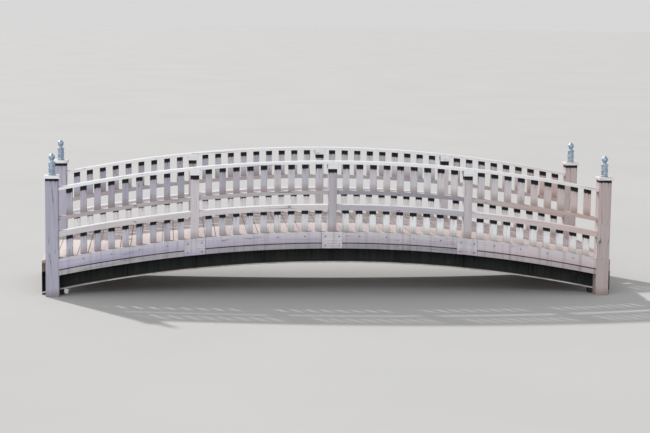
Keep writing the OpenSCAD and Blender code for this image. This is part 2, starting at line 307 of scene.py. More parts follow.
def timber(name, dark="grey_timber", light="pale_timber", bleached="bleached", stored=True,
           sky_share=0.6, ends=None, streaks=0.0, worn=0.0, face=0.0, chalked=None, warm=0.5,
           cool=0.0):
    """Weathered softwood. Its colours lie between dark and light along the fibres.

    stored: the piece carries its own "grain", "tone" and "sawn_end"; a CAD node has none
    sky_share: how far faces that look up are bleached
    ends: heights of an upright's foot and head along its grain, and depth of the painted shade
    under the head
    streaks: strength of stains that run down the face
    worn: how far the middle of the walkway is walked pale
    face: height of a board on edge, which is paler above and darker below
    chalked: painted light on faces toward -Y: where along X it begins, where it is
    brightest, and how bright that is
    warm: how strongly the right end is tinted tan
    cool: how strongly painted shade tints the left end lavender
    """
    material, tree, place = new_finish(name)
    x, y, _ = add(tree, SPLIT, (place,), None)
    normal = add(tree, "ShaderNodeNewGeometry", out="Normal")
    _, facing_y, facing_up = add(tree, SPLIT, (normal,), None)
    if stored:
        grain = add(tree, "ShaderNodeAttribute", out="Vector", attribute_name="grain")
        tone, sawn_end = [add(tree, "ShaderNodeAttribute", out="Fac", attribute_name=held)
                          for held in ("tone", "sawn_end")]
        lot = add(tree, "ShaderNodeVectorMath", ((13.1, 5.7, 9.3), tone, grain),
                  operation="MULTIPLY_ADD")
        tinge = add(tree, MATH, (tone, 7.3), operation="MULTIPLY")
        tinge = add(tree, MATH, (tinge, 1.0), operation="PINGPONG")
    else:
        grain = lot = arch_coordinates(tree)
        tone, tinge, sawn_end = 0.5, 0.5, 0.0
    fibres = drawn_out(tree, lot, (0.5, FIBRE, FIBRE), 5.0, 0.65)
    bands = drawn_out(tree, lot, (1.4, 48 * MM, 48 * MM), 2.0, 0.5)
    patches = add(tree, NOISE, (place, None, 1.7, 3.0, 0.55))

    # Drying checks: thin dark lines along the fibres, drawn 2 to 3 mm wide, none on sawn ends
    rift = drawn_out(tree, lot, (0.9, 34 * MM, 34 * MM), 0.0, 0.4)
    off_rift = add(tree, MATH, (rift, 0.5), operation="SUBTRACT")
    off_rift = add(tree, MATH, (off_rift,), operation="ABSOLUTE")
    unsawn = add(tree, MATH, (1.0, sawn_end), operation="SUBTRACT")
    checks = cover(tree, ((off_rift, 0.004, 0.016, 1.0, 0.0), (patches, 0.42, 0.6), unsawn))

    mixed = ragged(tree, 0.0, (fibres, 0.5), (bands, 0.35), (patches, 0.45), (tone, 0.38))
    tinge = ragged(tree, tinge, (bands, 0.5))
    layers = [
        (light, (mixed, 0.61, 1.05)),
        # Some pieces have greyed to a cool tint, others keep a rosy one
        ("#93a0b4", (tinge, 0.2, 0.75, 0.16, 0.0)),
        ("#c2a79f", (tinge, 0.75, 1.3, 0.0, 0.16)),
        # End grain drinks water and greys darker
        ("#807c80", sawn_end, 0.35),
        # Rain and sun take the grey out of faces that look up
        (bleached, (facing_up, 0.25, 0.9), (fibres, 0.2, 0.7, 0.75, 1.0), sky_share),
    ]
    if chalked:
        # Painted light: faces toward -Y turn near white from one X to another
        begins, full, brightest = chalked
        layers.append(("#fbfcfe", (facing_y, -0.8, -0.3, 1.0, 0.0),
                       (x, begins, full, 0.0, brightest)))
    # Painted shade: a lavender cast towards the left end; towards the right end a tan tint
    layers += [("#a6a5cb", (x, -3.2, 0.8, cool, 0.0)),
               ("#c9a492", (ragged(tree, x, (patches, 1.6)), 2.8, 4.3, 0.0, warm))]
    if face:
        height = ragged(tree, add(tree, SPLIT, (grain,), 2), (bands, 0.3 * face))
        layers += [(bleached, (height, 0.45 * face, 0.95 * face, 0.0, 0.5)),
                   ("#857d88", (height, 0.1 * face, 0.4 * face, 0.15, 0.0))]
    if worn:
        across = ragged(tree, add(tree, MATH, (y,), operation="ABSOLUTE"), (patches, 0.5))
        layers += [(bleached, (across, 0.45, 1.05, worn, 0.0)),
                   ("#7a6c62", (across, 1.1, 1.45, 0.0, 0.35))]
    if ends:
        # Rain splash stains the foot rosy brown; painted shade darkens the head under the rail
        # above
        foot, head, shade_depth = ends
        height = add(tree, SPLIT, (grain,), 0)
        damp = ragged(tree, height, (fibres, -0.05))
        shade_edge_noise = drawn_out(tree, lot, (0.9, 11 * MM, 11 * MM), 2.0, 0.5)
        head_shade_height = ragged(tree, height, (shade_edge_noise, 0.03), (tone, 0.012))
        low = head - shade_depth + 10 * MM
        layers += [
            ("#8b7669", (damp, foot - 12 * MM, foot + 90 * MM, 0.62, 0.0)),
            ("#39363b", (head_shade_height, low - 70 * MM, low, 0.0, 0.42), (shade_edge_noise, 0.48, 0.62)),
            ("#0f0e11", (head_shade_height, low, low + 14 * MM))]
    if streaks:
        run = drawn_out(tree, place, (45 * MM, 0.3, 0.9), 4.0, 0.6)
        layers += [("#5c5559", (run, 0.5, 0.72, 0.0, streaks)),
                   ("#d9d3c6", (run, 0.28, 0.42, streaks * 0.7, 0.0))]
    layers.append(("#3a3534", checks, 0.7))

    relief = ragged(tree, fibres, (checks, -1.2))
    roughness = add(tree, RANGE, (fibres, 0.3, 0.7, 0.9, 0.78))
    coat(tree, weathered(tree, dark, layers), roughness, relief, 0.45, 2.5 * MM)
    return material


def painted_steel(name, oil_paint):
    """Rolled steel under dull oil paint: near black, dusty on what looks up, rusty in spots.

    The near black is partly painted shade, for the shade under the deck, and darkens upwards
    from the lower flange, whose rim has a painted highlight.
    """
    material, tree, place = new_finish(name)
    facing_up = add(tree, SPLIT, (add(tree, "ShaderNodeNewGeometry", out="Normal"),), 2)
    height = add(tree, SPLIT, (arch_coordinates(tree),), 2)
    runs = drawn_out(tree, place, (50 * MM, 0.2, 0.6), 4.0, 0.6)
    cloud = add(tree, NOISE, (place, None, 6.0, 5.0, 0.6))
    algae = add(tree, NOISE, (place, None, 2.6, 4.0, 0.55))
    painted_shade_height = ragged(tree, height, (runs, -0.12))
    low, high = GIRDER_LOW - 1 * MM, GIRDER_LOW + 17 * MM
    paint = weathered(tree, oil_paint, (
        ("#262625", (runs, 0.35, 0.7)),
        ("#232a1f", (algae, 0.5, 0.7, 0.0, 0.55)),
        ("#4a3226", (cloud, 0.6, 0.68, 0.0, 0.75)),
        # Painted shade: lighter grey near the lower flange, so the web darkens upwards under the
        # deck
        ("#45494a", (painted_shade_height, GIRDER_LOW - 0.05, GIRDER_LOW + 0.16, 0.5, 0.0)),
        # Painted highlight: a pale line on the flange's rim, not on its underside
        ("#d6cfcb", (height, high, high + 2 * MM, 1.0, 0.0), (cloud, 0.35, 0.6, 0.6, 1.0),
         (height, low - 1 * MM, low), (facing_up, -0.8, -0.5)),
        # Dust on what looks up
        ("#7d7a74", (facing_up, 0.5, 0.95), (cloud, 0.25, 0.6, 0.7, 0.95))))
    roughness = add(tree, RANGE, (cloud, 0.3, 0.7, 0.6, 0.85))
    shader = coat(tree, paint, roughness, cloud, 0.3, 0.8 * MM)
    # The paint has chalked, so hardly any gloss is left on it
    shader.inputs["Specular IOR Level"].default_value = 0.12
    return material


def zinc_sheet(name, metal):
    """Spun zinc sheet, oxidised to a blue-grey bloom, brighter where rain runs off."""
    material, tree, place = new_finish(name)
    bloom = add(tree, NOISE, (place, None, 28.0, 5.0, 0.65))
    runs = drawn_out(tree, place, (12 * MM, 12 * MM, 0.12), 3.0, 0.6)
    paint = weathered(tree, metal, (
        ("#b9c9d8", (bloom, 0.35, 0.65)), ("#56677a", (runs, 0.55, 0.75, 0.0, 0.55))))
    roughness = add(tree, RANGE, (bloom, 0.3, 0.7, 0.36, 0.55))
    shader = coat(tree, paint, roughness, bloom, 0.15, 0.5 * MM)
    shader.inputs["Metallic"].default_value = 0.75
    return material


# The bridge lies wholly past where such painted light is brightest
ALL_ALONG = (-2 * END_X, -END_X)
# Foot and head of the lower balusters, and depth of the painted shade under the rail
LOWER_ENDS = (0, tall("far_lower_balusters"), 50 * MM)
# Each finish with its maker and settings
FINISHES = {
    # Sawn cedar, silver after years outdoors: fine grey streaks, soft edges
    "sawn_cedar": (timber, {}),
    "newel_cedar": (timber, dict(
        light="#cdcbd2", ends=(0, NEWEL_HI.z, 34 * MM), cool=0.3, warm=0.35)),
    "post_cedar": (timber, dict(
        dark="#b6b0b6", light="#ded9dd",
        ends=(DECK_TOP - LIP_LOW, SADDLE_LOW - LIP_LOW, 54 * MM))),
    "upper_baluster_cedar": (timber, dict(
        dark="#a09ea8", light="#cecad1", ends=(0, tall("far_upper_balusters"), 60 * MM),
        chalked=(-2.8, 1.6, 0.42), cool=0.2)),
    "lower_baluster_cedar": (timber, dict(
        dark="#b4b3bd", light="#dbdae1", ends=LOWER_ENDS, chalked=(-2.4, 0.8, 0.96),
        warm=0.15, cool=0.15)),
    # Paler copy of the lower baluster timber: painted light on the far railing's inner faces
    "inner_baluster_cedar": (timber, dict(
        dark="#c4c6cd", light="#e6e8ec", ends=LOWER_ENDS, chalked=(*ALL_ALONG, 0.95),
        warm=0.1)),
    # Planed cedar on top, nearly white where the sky reaches it, with painted light on its faces
    # toward -Y
    "planed_cedar": (timber, dict(
        dark="#cdd0d6", light="#e9ebee", bleached="#e6e8eb", sky_share=0.9,
        chalked=(*ALL_ALONG, 0.75), warm=0.25)),
    # The broad lower rail, rubbed smooth
    "rubbed_cedar": (timber, dict(dark="#c1bcc3", light="#e3dfe3", sky_share=0.7)),
    # Planed boards on edge, streaked where water runs, paler above and darker towards the bottom
    "fascia_cedar": (timber, dict(
        dark="#c6bbc6", light="#e6dce4", streaks=0.3, face=tall("far_fascia"), warm=0.25,
        cool=0.55)),
    "strip_cedar": (timber, dict(dark="#a29ea7", light="#c9c4c6", streaks=0.5, warm=0.1)),
    # Deck boards, walked dry and dusty
    "walked_boards": (timber, dict(
        dark="#917f7c", light="board", bleached="#e0d6d4", sky_share=0.5, worn=0.5, warm=0.1)),
    # Treated beams below the deck, never bleached
    "treated_beam": (timber, dict(
        dark="#57483d", light="#86705d", bleached="#8f7d6c", stored=False, sky_share=0.2,
        warm=0.0)),
    "oil_painted_steel": (painted_steel, dict(oil_paint="steel_paint")),
    "galvanised_steel": (zinc_sheet, dict(metal="#6f7375")),
    "zinc_sheet": (zinc_sheet, dict(metal="zinc")),
}


def finish(name):
    """The finish of that name, made when it is first asked for."""
    made = bpy.data.materials.get(name)
    if made:
        return made
    maker, settings = FINISHES[name]
    return maker(name, **settings)


# Geometry Nodes

def new_group(name, output, inputs):
    """A group with one geometry output and named inputs, each with its default or its kind."""
    tree = bpy.data.node_groups.new(name, "GeometryNodeTree")
    for label, default in inputs.items():
        plain = not isinstance(default, str)
        kind = type(default).__name__.title() if plain else default
        made = tree.interface.new_socket(label, in_out="INPUT", socket_type=f"NodeSocket{kind}")
        if plain:
            made.default_value = default
    tree.interface.new_socket(output, in_out="OUTPUT", socket_type="NodeSocketGeometry")
    return tree, add(tree, "NodeGroupInput", out=None)


def lower_and_finish(tree, geometry, given):
    """Ends a group: makes copies real, lowers every point to the arch and paints them."""
    real = add(tree, "GeometryNodeRealizeInstances", (geometry,))
    x = add(tree, SPLIT, (add(tree, "GeometryNodeInputPosition"),))
    fall = add(tree, MATH, (arch_fall(tree, x, given["Radius"]), -1.0), operation="MULTIPLY")
    lowered = add(tree, "GeometryNodeSetPosition", {
        "Geometry": real, "Offset": add(tree, MERGE, (None, None, fall))})
    painted = add(tree, "GeometryNodeSetMaterial", {
        "Geometry": lowered, "Material": given["Finish"]})
    add(tree, "NodeGroupOutput", (painted,), None)
    return tree


def bend_group(name):
    """Group that bends one straight timber to the arch."""
    tree, given = new_group(name, "Timber", {
        "Timber": "Geometry", "Radius": ARC_R, "Finish": "Material"})
    return lower_and_finish(tree, given["Timber"], given)


def row_group(name):
    """Group that repeats one piece along each bay of the arch, each copy a little off true."""
    tree, given = new_group(name, "Row", {
        "Piece": "Geometry", "Per Bay": 1, "Bays": 1, "First": 0.0, "Pitch": BALUSTER_PITCH,
        "Bay Length": BAY_LEN, "Play": 0.0, "Turn": 0.0, "Seed": 0, "Radius": ARC_R,
        "Finish": "Material"})
    index = add(tree, "GeometryNodeInputIndex")
    in_bay = add(tree, MATH, (index, given["Per Bay"]), operation="MODULO")
    bay = add(tree, MATH, (index, given["Per Bay"]), operation="DIVIDE")
    bay = add(tree, MATH, (bay,), operation="FLOOR")
    x = add(tree, MATH, (in_bay, given["Pitch"], given["First"]), operation="MULTIPLY_ADD")
    x = add(tree, MATH, (bay, given["Bay Length"], x), operation="MULTIPLY_ADD")
    count = add(tree, MATH, (given["Per Bay"], given["Bays"]), operation="MULTIPLY")
    points = add(tree, "GeometryNodePoints", {
        "Count": count, "Position": add(tree, MERGE, (x,))})

    # Random shift along and across, random turn, and a tone from 0 to 1
    strays = []
    for step, high in enumerate((given["Play"], given["Play"], given["Turn"], 1.0), 1):
        low = 0.0 if high == 1.0 else add(tree, MATH, (high, -1.0), operation="MULTIPLY")
        seed = add(tree, MATH, (given["Seed"], step), operation="ADD")
        strays.append(add(tree, "FunctionNodeRandomValue", {2: low, 3: high, "Seed": seed}, 1,
                          data_type="FLOAT"))
    along, across, turn, tone = strays
    points = add(tree, "GeometryNodeSetPosition", {
        "Geometry": points, "Offset": add(tree, MERGE, (along, across))})
    # The piece's own tone would hide the one that each copy gets
    bare = add(tree, "GeometryNodeRemoveAttribute", {
        "Geometry": given["Piece"], "Name": "tone"})
    copies = add(tree, "GeometryNodeInstanceOnPoints", {
        "Points": points, "Instance": bare, "Rotation": add(tree, MERGE, (None, None, turn))})
    copies = add(tree, "GeometryNodeStoreNamedAttribute", {
        "Geometry": copies, "Name": "tone", "Value": tone},
        data_type="FLOAT", domain="INSTANCE")
    return lower_and_finish(tree, copies, given)


def run_group(piece, name, build, **values):
    """Runs a Geometry Nodes group on a piece and keeps the result as its plain mesh.

    values: inputs by name; one that is left out keeps the group's own default
    """
    group = bpy.data.node_groups.get(name) or build(name)
    modifier = piece.modifiers.new(name, "NODES")
    modifier.node_group = group
    for item in group.interface.items_tree:
        key = item.name.replace(" ", "_").lower()
        if item.in_out == "INPUT" and key in values:
            modifier[item.identifier] = values[key]
    depsgraph = bpy.context.evaluated_depsgraph_get()
    mesh = bpy.data.meshes.new_from_object(
        piece.evaluated_get(depsgraph), preserve_all_data_layers=True, depsgraph=depsgraph)
    piece.modifiers.remove(modifier)
    piece.data = mesh
    return piece


# Meshes

def circle(radius, height, sides):
    """Points round the Z axis."""
    return [(radius * math.cos(2 * math.pi * i / sides),
             radius * math.sin(2 * math.pi * i / sides), height) for i in range(sides)]


def oblong(a0, a1, b0, b1):
    """Outline of a rectangle from its limits in both directions."""
    return [(a0, b0), (a1, b0), (a1, b1), (a0, b1)]


class Stock:
    """Collects timbers or fixings that become one mesh, with their grain and tone."""

    def __init__(self, seed=1):
        self.points, self.faces, self.grain = [], [], []
        self.tones, self.sawn_ends = [], []
        self.rng = random.Random(seed)

    def take(self, bm, along, tone=None):
        """Adds a finished bmesh; along gives the direction of its fibres."""
        tone = self.rng.random() if tone is None else tone
        start = len(self.points)
        bm.verts.index_update()
        order = {"x": (0, 1, 2), "y": (1, 0, 2), "z": (2, 0, 1)}[along]
        low = [min(v.co[i] for v in bm.verts) for i in range(3)]
        for v in bm.verts:
            self.points.append(v.co[:])
            self.grain.append([v.co[i] - low[i] for i in order])
            self.tones.append(tone)
        bm.normal_update()
        for face in bm.faces:
            self.faces.append([start + v.index for v in face.verts])
            self.sawn_ends.append(float(abs(face.normal[order[0]]) > 0.7))
        bm.free()

    def prism(self, outline, axis, start, end, arris, along, bends=False, tone=None):
        """Adds an outline pushed out along an axis, with rounded edges."""
        bm = bmesh.new()
        first, second, pushed = {"x": (1, 2, 0), "y": (0, 2, 1), "z": (0, 1, 2)}[axis]
        ring = []
        for a, b in outline:
            v = bm.verts.new()
            v.co[first], v.co[second], v.co[pushed] = a, b, start
            ring.append(v)
        result = bmesh.ops.extrude_face_region(bm, geom=[bm.faces.new(ring)])
        for v in result["geom"]:
            if isinstance(v, bmesh.types.BMVert):
                v.co[pushed] = end
        bmesh.ops.recalc_face_normals(bm, faces=bm.faces)
        bmesh.ops.bevel(bm, geom=list(bm.edges), offset=arris, segments=2, profile=0.5,
                        affect="EDGES", clamp_overlap=True)
        if bends:
            # Cuts across it let a long timber follow the arch
            x0, x1 = [pick(v.co.x for v in bm.verts) for pick in (min, max)]
            count = max(1, round((x1 - x0) / BEND_STEP))
            for i in range(1, count):
                bmesh.ops.bisect_plane(
                    bm, geom=list(bm.verts) + list(bm.edges) + list(bm.faces),
                    plane_co=(x0 + (x1 - x0) * i / count, 0, 0), plane_no=(1, 0, 0))
        self.take(bm, along, tone)

    def rings(self, rings, along="z"):
        """Adds a solid from rings of points, lowest first; a last ring of one is a tip."""
        bm = bmesh.new()
        rings = [[bm.verts.new(co) for co in ring] for ring in rings]
        for lower, upper in zip(rings, rings[1:]):
            for i in range(len(lower)):
                j = (i + 1) % len(lower)
                tops = (upper[0],) if len(upper) == 1 else (upper[j], upper[i])
                bm.faces.new((lower[i], lower[j], *tops))
        bm.faces.new(rings[0][::-1])
        if len(rings[-1]) > 1:
            bm.faces.new(rings[-1])
        self.take(bm, along)

    def tower(self, x, y, levels, along="z"):
        """Adds a square upright with bevelled corners: levels of height, half width, bevel."""
        rings = []
        for z, half, bevel in levels:
            flat = half - bevel
            corners = [(-half, -flat), (-flat, -half), (flat, -half), (half, -flat),
                       (half, flat), (flat, half), (-flat, half), (-half, flat)]
            rings.append([(x + a, y + b, z) for a, b in corners])
        self.rings(rings, along)

    def head(self, centre, facing, width, height, sides=6):
        """Adds a bolt or screw head that looks the way of facing: hexagonal, else domed."""
        radius = width / 2
        shape = [(1, 0), (0.93, 0.45), (0.68, 0.82), (0.3, 1)]
        if sides == 6:
            radius /= math.cos(math.pi / sides)
            shape = [(1, 0), (1, 0.7), (0.82, 1)]
        turn = Vector((0, 0, 1)).rotation_difference(Vector(facing)).to_matrix().to_4x4()
        place = Matrix.Translation(centre) @ turn
        self.rings([[place @ Vector(co) for co in circle(radius * r, height * h, sides)]
                    for r, h in shape])

    def piece(self, name, material=None):
        """Turns what was collected into one object with its attributes."""
        mesh = bpy.data.meshes.new(name)
        mesh.from_pydata(self.points, [], self.faces)
        grain = mesh.attributes.new("grain", "FLOAT_VECTOR", "POINT")
        grain.data.foreach_set("vector", [c for g in self.grain for c in g])
        for label, domain, held in (("tone", "POINT", self.tones),
                                    ("sawn_end", "FACE", self.sawn_ends)):
            mesh.attributes.new(label, "FLOAT", domain).data.foreach_set("value", held)
        mesh.update()
        made = bpy.data.objects.new(name, mesh)
        bpy.context.scene.collection.objects.link(made)
        if material:
            mesh.materials.append(finish(material))
        return made


def hand_in(piece, slot, *nodes):
    """Fixes a finished piece to the bridge's body and hides the CAD nodes that it replaces."""
    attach(piece, "root")
    if nodes:
        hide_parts(*nodes)


def row(stock, name, material, **values):
    """A piece repeated along the arch."""
    return run_group(stock.piece(name), "Row along the arch", row_group,
                     finish=finish(material), **values)


def bent(name, node, material, slot, seed, outline, spans, arris):
    """Fixes timbers of one outline to the bridge, one to each span along X, bent to the arch."""
    stock = Stock(seed)
    for x0, x1 in spans:
        stock.prism(outline, "x", x0, x1, arris, "x", bends=True)
    piece = run_group(stock.piece(name), "Bend to the arch", bend_group,
                      finish=finish(material))
    hand_in(piece, slot, node)


def bay_spans(post_gap, joint):
    """Start and end of every bay, post_gap off the post centres and a joint off the newels."""
    starts = [joint - NEWEL_X] + [x + post_gap for x in POST_XS]
    stops = [x - post_gap for x in POST_XS] + [NEWEL_X - joint]
    return list(zip(starts, stops))


# Operators

class FOOTBRIDGE_OT_deck(bpy.types.Operator):
    """Lays crosswise boards over the deck, cut round the posts and newels, with their screws"""
    bl_idname = "footbridge.deck"
    bl_label = "Deck boards"

    def execute(self, context):
        sizes = context.scene.bridge_timber
        half = sizes.board_width / 2
        edge, clear = DECK_HI.y, 2 * MM
        boards = []

        def board(outline, first, seed, **values):
            """Adds a row of boards of one outline, seen from above."""
            stock = Stock()
            stock.prism(outline, "z", DECK_LOW + 1 * MM, DECK_TOP - 1 * MM, sizes.rough_arris,
                        "y")
            boards.append(row(stock, "board", "walked_boards", first=first, seed=seed,
                              play=0.7 * MM, turn=0.0006, pitch=BOARD_PITCH, **values))

        def notched(cut, inner, side):
            """Outline of a board whose corners on one side are cut away for uprights."""
            wide, slim = side * half, side * (half - cut)
            return [(wide, -inner), (wide, inner), (slim, inner), (slim, edge), (-wide, edge),
                    (-wide, -edge), (slim, -edge), (slim, -inner)]

        board(oblong(-half, half, -edge, edge), 1.5 * BOARD_PITCH - HALF_LEN, 3,
              per_bay=BOARDS_PER_BAY - 2, bays=BAYS)
        post_cut = POST_HALF + clear - (BOARD_PITCH / 2 - half)
        for side in (-1, 1):
            board(notched(post_cut, POSTS_LO.y - clear, side),
                  POST_XS[0] - side * BOARD_PITCH / 2, 5 + side, bays=BAYS - 1)
        newel_cut = HALF_LEN - BOARD_PITCH / 2 + half - (NEWEL_X - clear)
        narrow = NEWEL_LO.y - clear
        last = (END_X - HALF_LEN - BOARD_PITCH) / 2 - 1.5 * MM
        for side in (-1, 1):
            board(notched(newel_cut, narrow, side), side * (HALF_LEN - BOARD_PITCH / 2), 9 + side)
            board(oblong(-half, half, -narrow, narrow), side * (HALF_LEN + BOARD_PITCH / 2),
                  13 + side)
            board(oblong(-last, last, -narrow, narrow), side * (END_X - last - 1 * MM), 17 + side)
        with context.temp_override(active_object=boards[0], object=boards[0],
                                   selected_objects=boards, selected_editable_objects=boards):
            bpy.ops.object.join()
        boards[0].name = "deck_planks"
        hand_in(boards[0], "deck_boards", "deck")

        screws = Stock()
        nailer_y = middle("far_nailer")[1]
        screw = context.scene.bridge_fixings.screw_width
        for y in (-nailer_y, 0, nailer_y):
            for x in (-half * 0.55, half * 0.55):
                screws.head((x, y + x * 0.3, DECK_TOP - 1.4 * MM), (0, 0, 1), screw, 1 * MM, 10)
        hand_in(row(screws, "deck_screws", "galvanised_steel", pitch=BOARD_PITCH, seed=21,
                    per_bay=BOARDS_PER_BAY * BAYS + 2, first=-HALF_LEN - BOARD_PITCH / 2,
                    play=1.5 * MM), "finial_metal")
        return {"FINISHED"}


class FOOTBRIDGE_OT_side_boards(bpy.types.Operator):
    """Fits the fascia boards, the lower strips and the blocks over their joints"""
    bl_idname = "footbridge.side_boards"
    bl_label = "Fascia and strips"

    def execute(self, context):
        arris = context.scene.bridge_timber.arris
        gap = 1.5 * MM
        for name, side in SIDES:
            for part, material in (("fascia", "fascia_cedar"), ("lower_strip", "strip_cedar")):
                y0, y1, low, high = at_crown(f"{name}_{part}")
                # The boards begin beside the middle block, where the arch has dropped a little
                outline = oblong(y0, y1, low, high + drop(BLOCK_HALF))
                bent(f"{name}_{part}_boards", f"{name}_{part}", material, "sunlit_timber",
                     side + 31, outline, bay_spans(BLOCK_HALF + gap, gap), arris)
            y0, y1, _, _ = at_crown(f"{name}_splice_blocks")
            blocks = [(x - BLOCK_HALF, x + BLOCK_HALF) for x in POST_XS]
            bent(f"{name}_joint_blocks", f"{name}_splice_blocks", "fascia_cedar",
                 "sunlit_timber", side + 41, oblong(y0, y1, LIP_LOW, DECK_TOP), blocks,
                 arris * 1.5)
        return {"FINISHED"}


class FOOTBRIDGE_OT_uprights(bpy.types.Operator):
    """Sets the newels with their plates, and the middle posts with their saddle blocks"""
    bl_idname = "footbridge.uprights"
    bl_label = "Newels, posts and saddles"

    def execute(self, context):
        sizes = context.scene.bridge_timber
        for corner, seed in CORNERS:
            self.newel(corner, seed, sizes.rough_arris)
        for build in (self.posts, self.saddles):
            for name, side in SIDES:
                build(name, side, sizes.arris)
        return {"FINISHED"}

    def newel(self, corner, seed, arris):
        """A square newel whose chamfers stop above the deck, and its plate with sloped edges."""
        x, y, _ = middle(f"{corner}_newel")
        half, bevel = NEWEL_W / 2, 12 * MM
        stop = DECK_TOP - drop(HALF_LEN) + 0.12
        stock = Stock(51 + seed)
        stock.tower(x, y, [
            (0, half - arris, arris), (arris, half, arris), (stop, half, arris),
            (stop + bevel * 1.4, half, bevel), (NEWEL_HI.z, half, bevel)])
        hand_in(stock.piece(f"{corner}_newel_timber", "newel_cedar"), "weathered_timber",
                f"{corner}_newel")
        lo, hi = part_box(f"{corner}_cap")
        half, slope, soft = (hi.x - lo.x) / 2, 14 * MM, arris * 1.3
        stock = Stock(61 + seed)
        stock.tower(x, y, [
            (lo.z, half - 3 * MM, arris), (lo.z + 3 * MM, half, soft),
            (hi.z - slope - 1 * MM, half, soft), (hi.z - slope + 2 * MM, half - 2 * MM, soft),
            (hi.z - 1.5 * MM, half - slope + 2 * MM, arris),
            (hi.z, half - slope - 1 * MM, arris)], along="x")
        hand_in(stock.piece(f"{corner}_newel_plate", "planed_cedar"), "sunlit_timber",
                f"{corner}_cap")

    def posts(self, name, side, arris):
        """Middle posts, cut back behind the fascia."""
        stock = Stock(71 + side)
        ledge = DECK_TOP + 1 * MM
        y0, y1, edge = POSTS_LO.y, POSTS_HI.y, DECK_HI.y
        for x in POST_XS:
            outline = [(side * y, z - drop(x)) for y, z in (
                (y0, LIP_LOW), (edge, LIP_LOW), (edge, ledge), (y1, ledge), (y1, SADDLE_LOW),
                (y0, SADDLE_LOW))]
            stock.prism(outline, "x", x - POST_HALF, x + POST_HALF, arris, "z")
        hand_in(stock.piece(f"{name}_post_timbers", "post_cedar"), "weathered_timber",
                f"{name}_posts")

    def saddles(self, name, side, arris):
        """Blocks on the middle posts: a seat for the rail between two cheeks."""
        half = SADDLES_HI.x - POST_XS[-1]
        rail_y0, rail_y1, seat_top, _ = at_crown("far_top_rail")
        stock = Stock(81 + side)
        for x in POST_XS:
            tone = stock.rng.random()
            x0, x1 = x - half, x + half
            low, high = SADDLE_LOW - drop(x), SADDLES_HI.z - drop(x)
            cheek = oblong(x0, x1, low, high)
            seat = cheek[:2] + [(x1, seat_top - drop(x1)), (x0, seat_top - drop(x0))]
            for outline, a, b, soft in (
                    (seat, rail_y0 - 1 * MM, rail_y1 + 1 * MM, 1 * MM),
                    (cheek, SADDLES_LO.y, rail_y0, arris), (cheek, rail_y1, SADDLES_HI.y, arris)):
                stock.prism(outline, "y", side * a, side * b, soft, "x", tone=tone)
        hand_in(stock.piece(f"{name}_saddle_blocks", "planed_cedar"), "sunlit_timber",
                f"{name}_saddles")


class FOOTBRIDGE_OT_rails(bpy.types.Operator):
    """Fits the top rails and both middle rails, one length to a bay"""
    bl_idname = "footbridge.rails"
    bl_label = "Rails"

    def execute(self, context):
        arris = context.scene.bridge_timber.arris
        bevel, beside_post = 9 * MM, POST_HALF + 1 * MM
        for name, side in SIDES:
            for part, slot, wood, gap, seed in (
                    ("top_rail", "sunlit_timber", "planed_cedar", 1.5 * MM, 91 + side),
                    ("upper_mid_rail", "weathered_timber", "sawn_cedar", beside_post,
                     109 + side * 3),
                    ("lower_mid_rail", "weathered_timber", "rubbed_cedar", beside_post,
                     109 + side * 3)):
                y0, y1, low, high = at_crown(f"{name}_{part}")
                outline, soft = oblong(y0, y1, low, high), arris
                if part == "top_rail":
                    outline[2:] = [(y1, high - bevel), (y1 - bevel, high), (y0 + bevel, high),
                                   (y0, high - bevel)]
                    soft = 2.5 * MM
                bent(f"{name}_{part}_lengths", f"{name}_{part}", wood, slot, seed, outline,
                     bay_spans(gap, 1 * MM), soft)
        return {"FINISHED"}


class FOOTBRIDGE_OT_balusters(bpy.types.Operator):
    """Stands both rows of square balusters between the rails"""
    bl_idname = "footbridge.balusters"
    bl_label = "Balusters"

    def execute(self, context):
        sizes = context.scene.bridge_timber
        half = BALUSTER_HALF - sizes.play / 2
        for name, side in SIDES:
            y = side * RAIL_Y
            for i, level in enumerate(("upper", "lower")):
                _, _, low, high = at_crown(f"{name}_{level}_balusters")
                stock = Stock()
                stock.prism(oblong(y - half, y + half, low, high), "x", -half, half,
                            sizes.rough_arris, "z")
                # The far railing's lower balusters take a paler copy of the timber, painted light
                # on their inner faces
                inner = (name, level) == ("far", "lower")
                wood = "inner_baluster_cedar" if inner else f"{level}_baluster_cedar"
                piece = row(stock, f"{name}_{level}_baluster_row", wood, per_bay=PER_BAY,
                            bays=BAYS, first=BALUSTER_PITCH - HALF_LEN, play=sizes.play / 2,
                            seed=100 + side * 7 + i)
                hand_in(piece, "weathered_timber", f"{name}_{level}_balusters")
        return {"FINISHED"}


